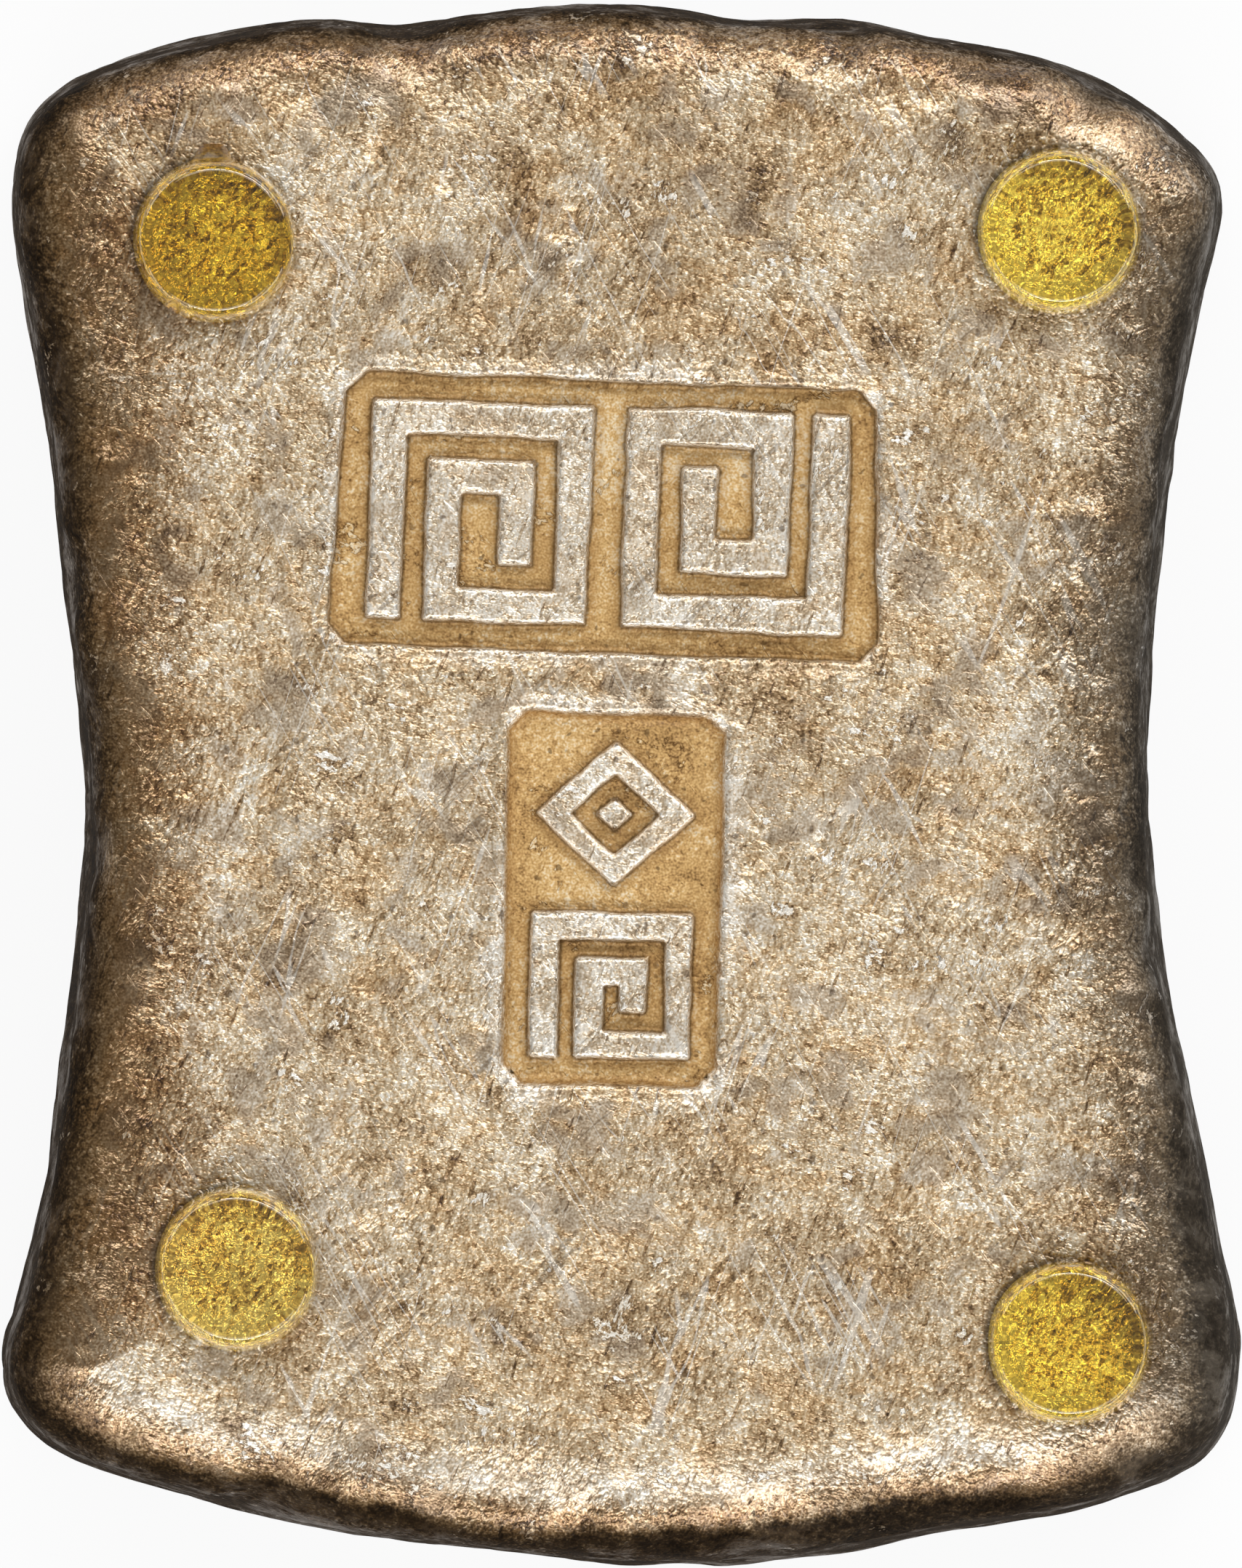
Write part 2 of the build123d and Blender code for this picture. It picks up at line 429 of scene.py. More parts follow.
# Middle, radius and depth of knocks on the shoulder
KNOCKS = [
    ((-34.0, 12.6), 2.6, 0.45),
    ((-32.6, -4.0), 2.0, 0.3),
    ((33.2, 20.0), 2.4, 0.35),
    ((32.0, -10.0), 2.2, 0.3),
    ((12.5, 45.2), 2.6, 0.5),
    ((-13.0, 45.0), 2.2, 0.35),
    ((8.0, -45.5), 2.4, 0.4),
    ((-22.0, -42.5), 2.2, 0.35),
    ((28.0, 41.0), 2.0, 0.4),
    ((30.0, -1.6), 1.1, 0.20),
    ((31.6, -17.0), 0.8, 0.28),
    ((31.6, -10.0), 1.2, 0.25),
    ((30.2, 7.5), 1.3, 0.20),
    ((30.6, -5.6), 0.9, 0.18),
    ((33.4, -24.0), 1.3, 0.25),
    ((34.4, -31.0), 1.1, 0.22),
    ((30.8, 13.0), 1.1, 0.20),
    ((32.6, 26.0), 1.3, 0.22),
    ((31.8, -13.6), 0.7, 0.2),
]


def cast_relief(at):
    """How far the cast skin stands out at each point."""
    relief = layered(at.points, SWELLS)
    relief += np.minimum(at.hills, WORN_ABOVE + WORN_LEFT * (at.hills - WORN_ABOVE))
    relief += ramp(at.drop, *SIDE_DROPS) * layered(at.points, SIDE_LUMPS)
    shoulder = (1 - ramp(at.inset, *SHOULDER_INNER)) * ramp(at.inset, *SHOULDER_OUTER) * at.clear_of_pads
    relief += shoulder * layered(at.points, SHOULDER_LUMPS)
    relief += np.where(at.face, LIP_HEIGHT * bell(at.gap, LIP_AWAY, LIP_WIDTH), 0.0)
    relief = np.where(at.raised, RAISED_SHARE * relief - RAISED_SINK, relief)
    relief = np.where(at.ground, GROUND_SHARE * relief, relief)
    upper_side = at.drop < SUNK
    for (count, seed, depth, radius), form, sign in ((PITS, 2, -1), (BLISTERS, 4, 1)):
        for place, size in scattered(count, seed, at.open_face):
            away = reach_from(at.plan, place) / (radius[0] + radius[1] * size ** 2)
            relief += sign * upper_side * (depth[0] + depth[1] * size) * np.exp(-(away ** form))
    for start, end, width, depth in GOUGES:
        relief -= at.face * depth * bell(line_gaps(at.plan, start, end), 0.0, width)
    under_pads = UNDER_PAD_SHARE + (1 - UNDER_PAD_SHARE) * at.clear_of_pads
    relief *= np.where(upper_side, under_pads, 1.0)
    knocked = ramp(-at.drop, *KNOCK_DROPS) * at.clear_of_pads
    for middle, radius, depth in KNOCKS:
        relief -= depth * mesa(reach_from(at.plan, middle), radius) * knocked
    return relief


def fallen_ends(at):
    """How far the shoulder falls away at the two ends."""
    fall = UPPER_FALL[0] * at.upper * (1 - ramp(at.inset, *UPPER_FALL[1:]))
    fall += LOWER_FALL[0] * at.lower * (1 - ramp(at.inset, *LOWER_FALL[1:]))
    return fall * at.clear_of_pads * (at.drop < FALL_ABOVE)


# Finish of the ingot, as fields that its material reads

# Inset to which the rim is black, as toning and painted shade, and at which it is clear, with what each
# side adds
BLACK_TO = SimpleNamespace(all=0.5, left=0.6, right=0.3, lower=1.4, upper=0.4, far_left=0.6, low_right=1.4)
CLEAR_AT = SimpleNamespace(all=3.0, left=8.8, far_left=2.5, right=7.0, corner=6.0, lower=1.8, upper=1.6)
TONING_AND_SHADE_CURVE = 0.8
WALL_TONING_AND_SHADE = (1.8, 4.0)  # drop over which the walls turn black, as toning and painted shade
# Strength, inset and width of the painted highlight bands and the painted shade bands along the two ends
UPPER_HIGHLIGHT = (0.10, 3.6, 1.3)
LOWER_HIGHLIGHT = (0.9, 4.8, 1.5)
UPPER_SHADE = [(0.06, 6.5, 2.0), (0.20, 3.1, 1.7)]
LOWER_SHADE = [(0.08, 3.2, 1.5)]
FEATHER = 0.9
FEATHER_SIZE = 1.4
FEATHER_SEEDS = (51, 52, 53)
PATCHES = [(1.0, 3.4, 54), (0.6, 1.7, 55), (0.4, 0.9, 56)]
FLATS = [(1.0, 2.6, 57), (0.6, 1.3, 58), (0.35, 0.7, 59)]
TEARS = [(1.0, 1.5, 71), (0.6, 0.8, 72)]
TEAR_STRETCH = (0.6, 1.0, 1.0)
RUB_EDGE = [(0.8, 1.2, 60), (0.6, 3.0, 61)]
BROAD_SHADE = [(0.06, 17.0, 63)]
FINE_SHADE = [(0.10, 0.8, 73)]
# Middle, half width, half height and strength of the paler patch in the wide seal's ground
PALE_GROUND_PATCH = ((2.0, 19.5), (9.0, 5.5), 0.26)
# Start, end, width and strength of brown stains on the face
STAINS = [
    ((-6.4, 37.6), (-5.6, 34.2), 0.9, 0.7),
    ((8.6, 37.2), (7.6, 33.8), 0.8, 0.8),
    ((15.2, 27.4), (15.6, 26.9), 0.9, 1.0),
    ((-26.6, 22.2), (-26.4, 21.8), 0.6, 0.8),
    ((16.4, 27.0), (17.4, 26.4), 0.8, 0.7),
    ((-4.0, 31.5), (-3.0, 30.0), 0.7, 0.5),
    ((-11.0, 0.6), (-10.6, 0.2), 0.5, 0.8),
    ((-30.4, -9.2), (-30.2, -10.2), 0.5, 0.9),
    ((21.5, -22.5), (24.0, -23.0), 0.6, 0.7),
]
STAIN_EDGE = [(0.5, 1.3, 31)]
SPOT_COUNT, SPOT_SEED = 90, 5
SPOT_EDGE = [(0.25, 0.8, 32)]
SHADOW_WAY = np.array([-0.85, 0.5])  # way in which the dirt and the painted shadow beside the pads are darkest
RING_WAY = np.array([-0.6, -0.8])  # way in which the painted light in the pads' outer rings is brightest
DIRT_SHADOW_REACH, RING_REACH = 1.5, 0.5
DIRT_SHADOW_WIDTH = 0.32


def rim_toning_and_shade(at):
    """Toning and painted rim shade, from 1 at the rim to 0 where the silver is clear: slow on the left,
    fast at the ends.
    """
    y = at.plan[:, 1]
    far_left = at.left ** 2 * np.maximum(ramp(y, 8.0, 26.0), 1 - ramp(y, -28.0, -12.0))
    low_right = at.right ** 2 * (1 - ramp(y, -34.0, -14.0))
    black_to = BLACK_TO.all + BLACK_TO.left * at.left ** 2 + BLACK_TO.right * at.right ** 2
    black_to += BLACK_TO.lower * at.lower ** 2 + BLACK_TO.upper * at.upper ** 2
    black_to += BLACK_TO.far_left * far_left + BLACK_TO.low_right * low_right
    right_reach = 1.5 - 0.5 * ramp(y, -40.0, -10.0) - 0.28 * ramp(y, 4.0, 22.0)
    clear_at = CLEAR_AT.all + CLEAR_AT.left * at.left ** 1.5 + CLEAR_AT.far_left * far_left
    clear_at += CLEAR_AT.right * at.right ** 1.5 * right_reach + CLEAR_AT.corner * at.right * at.lower
    clear_at += CLEAR_AT.lower * at.lower ** 2 + CLEAR_AT.upper * at.upper ** 2
    cleared = np.clip((at.ragged - black_to) / (clear_at - black_to), 0, 1) ** TONING_AND_SHADE_CURVE
    # Walls painted black, as toning and as shade
    return np.maximum(1 - cleared, ramp(at.drop, *WALL_TONING_AND_SHADE) * ~at.near)


def polish_and_highlights(at):
    """Painted highlight bands along the two ends, and rubbed bright metal with painted highlights around
    the seals and on the edges of their raised frets.
    """
    # Painted highlight bands along the two ends
    end_highlights = UPPER_HIGHLIGHT[0] * at.upper ** 2 * bell(at.ragged, *UPPER_HIGHLIGHT[1:])
    end_highlights += LOWER_HIGHLIGHT[0] * at.lower ** 2 * bell(at.ragged, *LOWER_HIGHLIGHT[1:])
    # Rubbed bright metal around the seals, partly painted highlight
    rub_and_highlight = 1 - ramp(at.gap + layered(at.points, RUB_EDGE), 0.1, 1.5)
    rub_and_highlight *= ramp(lumps(at.points, 7.0, 62), -0.3, 0.2)
    # Raised frets paler, with painted highlights along their edges
    rub_and_highlight = np.where(at.raised, 0.60 + 0.40 * bell(at.gap, 0.0, 0.3), rub_and_highlight * at.face)
    return np.maximum(end_highlights * ~at.near, rub_and_highlight)


def stains(at):
    """Brown stains and spots, from 0 to 1."""
    stain = np.zeros(len(at.points))
    edge = layered(at.points, STAIN_EDGE)
    for start, end, width, strength in STAINS:
        stain = np.maximum(stain, strength * bell(line_gaps(at.plan, start, end) + edge, 0.0, width))
    edge = layered(at.points, SPOT_EDGE)
    for place, size in scattered(SPOT_COUNT, SPOT_SEED, at.open_face):
        spot = bell(reach_from(at.plan, place) + edge, 0.0, 0.25 + 0.55 * size ** 3)
        stain = np.maximum(stain, (0.4 + 0.5 * size) * spot)
    return stain


def shading(at, feathered):
    """How much paler or darker than its mean the silver is."""
    shade = layered(at.points, BROAD_SHADE) + 0.13 * layered(feathered, PATCHES)
    shade += layered(feathered, FINE_SHADE)
    shade -= 0.07 * ramp(-at.hills, 0.02, 0.12) + 0.28 * stains(at) * ~at.ground
    middle, half_size, strength = PALE_GROUND_PATCH
    shade += strength * at.ground * np.exp(-np.sum(((at.plan - middle) / half_size) ** 2, axis=1))
    # Painted shade bands along the two ends
    for bands, end in ((UPPER_SHADE, at.upper), (LOWER_SHADE, at.lower)):
        for strength, inset, width in bands:
            shade -= strength * end ** 2 * bell(at.ragged, inset, width)
    return shade + 0.05 * at.raised + 0.03 * at.left * ramp(at.inset, 4.0, 9.0)


def pad_dirt_and_shadow(at):
    """Dirt and painted shadow at the feet of the pads, and the painted light in their outer rings."""
    beside = at.plan[:, None, :] - PAD_PLACES[None]
    away = np.hypot(*np.moveaxis(beside, 2, 0))
    # Painted shadow of each pad, darkest on one side
    shaded = np.where(away < PAD_RADIUS + DIRT_SHADOW_REACH, beside @ SHADOW_WAY / PAD_RADIUS, -1.0)
    lit = 0.5 + 0.5 * (beside @ RING_WAY) / PAD_RADIUS
    ring_light = np.max(np.where(away < PAD_RADIUS + RING_REACH, lit, 0.0), axis=1)
    dirt = bell(np.maximum(at.pad_gap, 0.0), 0.0, DIRT_SHADOW_WIDTH) * (at.pad_gap > -0.3)
    return dirt * (0.25 + 0.75 * ramp(np.max(shaded, axis=1), -0.2, 0.9)), ring_light


def finish_fields(at):
    """Every field that the silver's material reads, by name."""
    shifts = [lumps(at.points, FEATHER_SIZE, seed) for seed in FEATHER_SEEDS]
    feathered = at.points + FEATHER * np.column_stack(shifts)
    worn = ramp(at.hills, 0.5 * WORN_ABOVE, 2.0 * WORN_ABOVE)
    foot_dirt, ring_light = pad_dirt_and_shadow(at)
    return {
        "toning": rim_toning_and_shade(at),
        # Right side, painted lighter and greyer as if lit from that side
        "cool_side": at.right,
        "seal_ground": at.ground,
        "seal_gap": at.gap,
        "pad_gap": at.pad_gap,
        "foot_dirt": foot_dirt,
        "ring_light": ring_light,
        "shade": shading(at, feathered),
        "flats": ramp(layered(feathered, FLATS) + 0.5 * worn, -0.45, 1.05),
        "grain_way": ramp(lumps(at.points, 4.5, 64), -0.2, 0.2),
        "polished": polish_and_highlights(at),
        "tear": 0.5 + 0.3 * layered(feathered * TEAR_STRETCH, TEARS),
    }


def finish_ingot():
    """The ingot with its relief and its fields."""
    points, faces, wall_tree = make_ingot()
    made = mesh_object("cast_ingot", points, faces)
    normals = np.zeros(len(points) * 3, np.float32)
    made.data.vertices.foreach_get("normal", normals)
    at = survey(points, wall_tree)
    moved = points + normals.reshape(-1, 3) * cast_relief(at)[:, None]
    moved[:, 2] = np.maximum(moved[:, 2] - fallen_ends(at), 0.0)
    resting = points[:, 2] < REST_BAND
    moved[resting, 2] = points[resting, 2]
    made.data.vertices.foreach_set("co", (moved * MM).astype(np.float32).ravel())
    made.data.update()
    for name, values in finish_fields(at).items():
        field = made.data.attributes.new(name, "FLOAT", "POINT")
        field.data.foreach_set("value", np.asarray(values, np.float32))
    return made


ingot = finish_ingot()
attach(ingot, "root")
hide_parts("ingot")


# Pads

PAD_AROUND = 288
PAD_SINK = 0.22
# Reach from the middle and height above the face
PAD_PROFILE = [
    (5.00, -PAD_SINK), (5.00, 0.00), (4.995, 0.06), (4.97, 0.25), (4.93, 0.55), (4.88, 0.95), (4.83, 1.35),
    (4.78, 1.75), (4.73, 2.10), (4.67, 2.40), (4.59, 2.62), (4.49, 2.78), (4.37, 2.89), (4.22, 2.96),
    (4.05, 2.99), (3.85, 3.0), (3.2, 3.0), (2.4, 3.0), (1.6, 3.0), (0.8, 3.0),
]
PAD_TOP = 2.99  # what lies higher is the pad's upper side
PAD_TOP_SAG = 0.02
# Way that the strongest flutes face, in degrees, and their depth
PAD_FLUTES = {
    "pad_upper_left": (185, 0.020),
    "pad_upper_right": (170, 0.018),
    "pad_lower_left": (120, 0.022),
    "pad_lower_right": (15, 0.040),
}
FLUTES_AROUND, FINE_FLUTES_AROUND = 10.0, 22.0
PAD_SWELL, SWELLS_AROUND = 0.035, 2.0
PAD_APART = 7.0  # sets the pads apart in the noise
# Torn moulding tab and wedge notch on one pad: way in degrees, half width in radians and reach
TABBED_PAD = "pad_upper_left"
TAB = (92, 0.20, 0.85)
TAB_HEIGHTS = (0.25, 0.60)  # height over which the tab ends
NOTCH = (238, 0.07, 0.40)


def bulge(around, way, half_width, reach):
    """Reach at each angle of a rounded bulge that faces one way."""
    turn = np.angle(np.exp(1j * (around - math.radians(way))))
    return reach * mesa(turn, half_width)


def make_pad(name, place, seed):
    """Clear pad turned from its profile, with moulding flutes down its leaning side."""
    around = np.linspace(0, 2 * math.pi, PAD_AROUND, endpoint=False)
    ring = np.c_[np.cos(around), np.sin(around), np.full(PAD_AROUND, PAD_APART * seed)]
    facing, depth = PAD_FLUTES[name]
    strong = 0.35 + 0.65 * ramp(np.cos(around - math.radians(facing)), 0.0, 0.8)
    fluting = lumps(ring * FLUTES_AROUND, 1.0, 41) + 0.6 * lumps(ring * FINE_FLUTES_AROUND, 1.0, 42)
    flutes = depth * strong * fluting
    swell = PAD_SWELL * lumps(ring * SWELLS_AROUND, 1.0, 43)
    rows = []
    for reach, height in PAD_PROFILE:
        amount = ramp(height, 0.0, 0.4) * (1 - ramp(height, 2.4, 2.95))
        size = reach + flutes * amount + swell * (reach / PAD_RADIUS)
        if name == TABBED_PAD:
            size = size + bulge(around, *TAB) * (1 - ramp(height, *TAB_HEIGHTS))
            size = size - bulge(around, *NOTCH) * amount
        level = np.full(PAD_AROUND, FACE_Z + height)
        rows.append(np.c_[place[0] + size * ring[:, 0], place[1] + size * ring[:, 1], level])
    points = np.vstack(rows)
    top = points[:, 2] > FACE_Z + PAD_TOP
    points[top, 2] += PAD_TOP_SAG * lumps(points[top], 3.0, 44) - PAD_TOP_SAG
    faces = []
    for a in range(0, len(points) - PAD_AROUND, PAD_AROUND):
        b = a + PAD_AROUND
        for i in range(PAD_AROUND):
            j = (i + 1) % PAD_AROUND
            faces.append([a + i, a + j, b + j, b + i])
    faces.append(list(range(PAD_AROUND - 1, -1, -1)))
    faces.append(list(range(len(points) - PAD_AROUND, len(points))))
    return mesh_object("clear_" + name, points, faces)


pads = {}
for seed, (name, place) in enumerate(zip(PAD_NAMES, PAD_PLACES)):
    pads[name] = make_pad(name, place, seed + 1)
    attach(pads[name], "root")
    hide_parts(name)


# Shader helpers

def put(tree, kind, sockets=None, **settings):
    """Adds a node, sets it up, and links or fills its sockets."""
    node = tree.nodes.new(kind)
    for key, value in settings.items():
        setattr(node, key, value)
    for key, value in (sockets or {}).items():
        socket = node.inputs[key]
        if isinstance(value, bpy.types.NodeSocket):
            tree.links.new(value, socket)
        else:
            socket.default_value = value
    return node


def maths(tree, operation, a, b=0.0, clamp=False):
    return put(tree, "ShaderNodeMath", {0: a, 1: b}, operation=operation, use_clamp=clamp).outputs[0]


def times(tree, a, b, clamp=False):
    return maths(tree, "MULTIPLY", a, b, clamp)


def less(tree, a, b, clamp=False):
    return maths(tree, "SUBTRACT", a, b, clamp)


def most(tree, a, b):
    return maths(tree, "MAXIMUM", a, b)


def add(tree, value, other, weight):
    """A value plus another one times its weight."""
    return put(tree, "ShaderNodeMath", {0: other, 1: weight, 2: value}, operation="MULTIPLY_ADD").outputs[0]


def weigh(tree, start, parts):
    """Start plus each value's distance from a half, times its weight."""
    total = start
    for value, weight in parts:
        total = add(tree, total, less(tree, value, 0.5), weight)
    return total


def fade(tree, mask, a, b):
    """From one value to another by a mask."""
    return put(tree, "ShaderNodeMix", {0: mask, 2: a, 3: b}, data_type="FLOAT").outputs[0]


def blend(tree, mask, a, b, mode="MIX"):
    """From one colour to another by a mask."""
    return put(tree, "ShaderNodeMix", {0: mask, 6: a, 7: b}, data_type="RGBA", blend_type=mode).outputs[2]


def between(tree, value, low, high):
    """Smooth mask from 0 at low to 1 at high."""
    limits = {0: value, 1: low, 2: high, 3: 0.0, 4: 1.0}
    return put(tree, "ShaderNodeMapRange", limits, interpolation_type="SMOOTHSTEP").outputs[0]


def tones(tree, value, stops):
    """Colour ramp from (place, colour) stops."""
    node = put(tree, "ShaderNodeValToRGB", {0: value})
    ramp_stops = node.color_ramp.elements
    while len(ramp_stops) < len(stops):
        ramp_stops.new(0.5)
    for stop, (place, colour) in zip(ramp_stops, stops):
        stop.position = place
        stop.color = (*colour, 1.0)
    return node.outputs[0]


def noise(tree, where, scale, detail=2.0, rough=0.5):
    sockets = {"Vector": where, "Scale": scale, "Detail": detail, "Roughness": rough}
    return put(tree, "ShaderNodeTexNoise", sockets).outputs[0]


def drawn_out(tree, where, turn, stretch):
    """Places turned and squeezed along one way, so that a texture there looks drawn out."""
    turning = {"Vector": where, "Angle": turn}
    turned = put(tree, "ShaderNodeVectorRotate", turning, rotation_type="Z_AXIS").outputs[0]
    squeeze = (1 / stretch, 1.0, 1.0)
    return put(tree, "ShaderNodeVectorMath", {0: turned, 1: squeeze}, operation="MULTIPLY").outputs[0]


def drawn_noise(tree, where, turn, stretch, scale, detail, rough):
    return noise(tree, drawn_out(tree, where, turn, stretch), scale, detail, rough)


def new_group(name, inputs, outputs):
    """Node group with its named inputs and outputs."""
    group = bpy.data.node_groups.new(name, "ShaderNodeTree")
    for label, kind, value in inputs:
        socket = group.interface.new_socket(label, in_out="INPUT", socket_type=kind)
        if value is not None:
            socket.default_value = value
    for label, kind in outputs:
        group.interface.new_socket(label, in_out="OUTPUT", socket_type=kind)
    return group, group.nodes.new("NodeGroupInput").outputs, group.nodes.new("NodeGroupOutput").inputs


def use(tree, group, sockets):
    """Places a node group and gives back its mask."""
    node = put(tree, "ShaderNodeGroup", node_tree=group)
    for key, value in sockets.items():
        if isinstance(value, bpy.types.NodeSocket):
            tree.links.new(value, node.inputs[key])
        else:
            node.inputs[key].default_value = value
    return node.outputs["Mask"]


def new_material(name):
    """Material with a bare Principled shader."""
    material = bpy.data.materials.new(name)
    material.use_nodes = True
    tree = material.node_tree
    tree.nodes.clear()
    shader = tree.nodes.new("ShaderNodeBsdfPrincipled")
    out = tree.nodes.new("ShaderNodeOutputMaterial")
    tree.links.new(shader.outputs[0], out.inputs[0])
    return material, tree, shader


def millimetres(tree):
    """Places on the piece in millimetres."""
    place = put(tree, "ShaderNodeTexCoord").outputs["Object"]
    return put(tree, "ShaderNodeVectorMath", {0: place, "Scale": 1 / MM}, operation="SCALE").outputs[0]


def attribute(tree, name):
    return put(tree, "ShaderNodeAttribute", attribute_name=name).outputs["Fac"]


# Scratches and specks, shared by the silver and the pads

SCRATCH_STRETCH = 20.0
SCRATCH_WIDTH = (0.008, 0.026)
SCRATCH_PATCHES = 0.14
SCRATCH_KEPT = (0.98, 1.12)
SPECK_SWAY = 2.5
SPECK_LEAST, SPECK_EXTRA = 0.14, 0.30


def hairline_group():
    """Thin straight scratches that run one way, as a mask."""
    inputs = [
        ("Vector", "NodeSocketVector", None),
        ("Turn", "NodeSocketFloat", 0.0),
        ("Spacing", "NodeSocketFloat", 1.0),
        ("Amount", "NodeSocketFloat", 0.5),
    ]
    group, given, made = new_group("hairline_scratches", inputs, [("Mask", "NodeSocketFloat")])
    drawn = drawn_out(group, given["Vector"], given["Turn"], SCRATCH_STRETCH)
    lines = noise(group, drawn, given["Spacing"], 2.0, 0.6)
    thin = maths(group, "ABSOLUTE", less(group, lines, 0.5))
    width = maths(group, "DIVIDE", thin, given["Spacing"])
    mask = less(group, 1.0, between(group, width, *SCRATCH_WIDTH))
    worn = noise(group, given["Vector"], SCRATCH_PATCHES, 0.0)
    keep = between(group, maths(group, "ADD", worn, given["Amount"]), *SCRATCH_KEPT)
    group.links.new(times(group, mask, keep), made["Mask"])
    return group


def speck_group():
    """Scattered round specks, as a mask."""
    inputs = [
        ("Vector", "NodeSocketVector", None),
        ("Scale", "NodeSocketFloat", 1.0),
        ("Share", "NodeSocketFloat", 0.2),
    ]
    group, given, made = new_group("specks", inputs, [("Mask", "NodeSocketFloat")])
    swaying = {"Vector": given["Vector"], "Scale": SPECK_SWAY, "Detail": 0.0}
    sway = put(group, "ShaderNodeTexNoise", swaying).outputs["Color"]
    bending = {0: sway, 1: (0.5, 0.5, 0.5), 2: given["Vector"]}
    bent = put(group, "ShaderNodeVectorMath", bending, operation="MULTIPLY_ADD").outputs[0]
    cells = put(group, "ShaderNodeTexVoronoi", {"Vector": bent, "Scale": given["Scale"], "Randomness": 1.0})
    chance = put(group, "ShaderNodeSeparateColor", {0: cells.outputs["Color"]}).outputs
    chosen = maths(group, "LESS_THAN", chance[0], given["Share"])
    reach = maths(group, "ADD", SPECK_LEAST, times(group, chance[1], SPECK_EXTRA))
    away = maths(group, "DIVIDE", cells.outputs["Distance"], reach)
    dot = less(group, 1.0, between(group, away, 0.6, 1.1))
    group.links.new(times(group, chosen, dot), made["Mask"])
    return group


HAIRLINES = hairline_group()
SPECKS = speck_group()


# Toned silver

SILVER_FIELDS = (
    "toning", "cool_side", "seal_ground", "seal_gap", "pad_gap", "foot_dirt",
    "ring_light", "shade", "flats", "grain_way", "polished", "tear",
)
# Turn in radians, stretch, scale, detail and roughness of drawn-out grain and strokes
STEEP_GRAIN = (-1.05, 1.8, 2.7, 2.0, 0.66)
ACROSS_GRAIN = (0.35, 1.6, 2.6, 2.0, 0.66)
DOWN_STROKES = (-1.2, 7.0, 3.2, 0.0, 0.5)
SIDE_STROKES = (0.9, 6.0, 3.0, 0.0, 0.5)
GRIT_SCALE = 7.0
BEAD_SCALE = 2.7
# Brightness of the silver, and what each mask adds to it and to the fine relief
LEVEL_START = 0.575
LEVEL_PARTS = {
    "beaded": 0.42, "flats": -0.05, "torn": 0.30, "lip": -0.22,
    "polished": 0.15, "dark_stroke": -0.24, "light_stroke": 0.10,
}
HEIGHT_PARTS = {"beaded": 0.40, "torn": 1.0, "dark_stroke": -0.60, "light_stroke": 0.30}
FINE_RELIEF = 0.00013  # metres

TAN = [
    (0.05, (0.085, 0.042, 0.014)), (0.25, (0.275, 0.165, 0.070)), (0.40, (0.452, 0.305, 0.160)),
    (0.52, (0.585, 0.432, 0.256)), (0.66, (0.73, 0.59, 0.405)), (0.82, (0.885, 0.785, 0.63)),
    (0.95, (0.96, 0.92, 0.83)),
]
PALE = [
    (0.10, (0.16, 0.107, 0.064)), (0.40, (0.43, 0.34, 0.245)),
    (0.62, (0.65, 0.545, 0.42)), (0.85, (0.95, 0.89, 0.80)),
]
FLUSH = (1.03, 0.955, 0.85, 1)
PALE_SHARE = 0.62
PIT_SPECKS = {"Scale": 1.7, "Share": 0.13}
PIT_DIRT = (0.10, 0.055, 0.022, 1)
BRIGHT_LINES = [
    {"Turn": 1.05, "Spacing": 0.42, "Amount": 0.56},
    {"Turn": -1.25, "Spacing": 0.36, "Amount": 0.54},
]
BRIGHT_LINE = (0.93, 0.89, 0.81, 1)
DARK_LINES = {"Turn": -0.8, "Spacing": 0.5, "Amount": 0.48}
DARK_LINE = (0.14, 0.085, 0.04, 1)
SOIL = [
    (0.12, (0.18, 0.095, 0.032)), (0.36, (0.47, 0.285, 0.112)), (0.52, (0.62, 0.395, 0.16)),
    (0.66, (0.73, 0.50, 0.225)), (0.92, (0.88, 0.75, 0.53)),
]
SOIL_SPECK = (0.09, 0.048, 0.018, 1)
SOIL_WALL_SHADE = (0.34, 0.185, 0.062, 1)
SOIL_CORNER_DIRT_AND_SHADE = (0.085, 0.045, 0.017, 1)
FOOT_DIRT_AND_SHADOW = (0.05, 0.032, 0.014, 1)
FLAKE_TURN, FLAKE_STRETCH, FLAKE_SCALE = -0.9, 1.8, 4.2
# Flakes under the pads, the palest painted white as glints
UNDER_PAD = [
    (0.08, (0.10, 0.06, 0.02)), (0.34, (0.40, 0.29, 0.15)),
    (0.58, (0.88, 0.78, 0.60)), (0.78, (1.0, 1.0, 1.0)),
]
# Ring under each pad, from its painted shaded side to its painted lit side
PAD_RING = [(0.05, (0.20, 0.135, 0.055)), (0.45, (0.70, 0.57, 0.38)), (0.80, (1.0, 0.97, 0.9))]
# Toning and painted rim shade: browner on the left and at the ends, greyer on the right, which is painted
# as lit
BROWNED = ((0.64, 0.50, 0.34, 1), (0.62, 0.57, 0.51, 1))
DARKENED = ((0.060, 0.036, 0.016, 1), (0.058, 0.047, 0.035, 1))
CRUST = [
    (0.30, (0.014, 0.011, 0.008)), (0.48, (0.034, 0.027, 0.020)),
    (0.62, (0.105, 0.088, 0.068)), (0.80, (0.26, 0.215, 0.165)),
]
LEFT_SHADE_TINT = (0.50, 0.38, 0.27, 1)


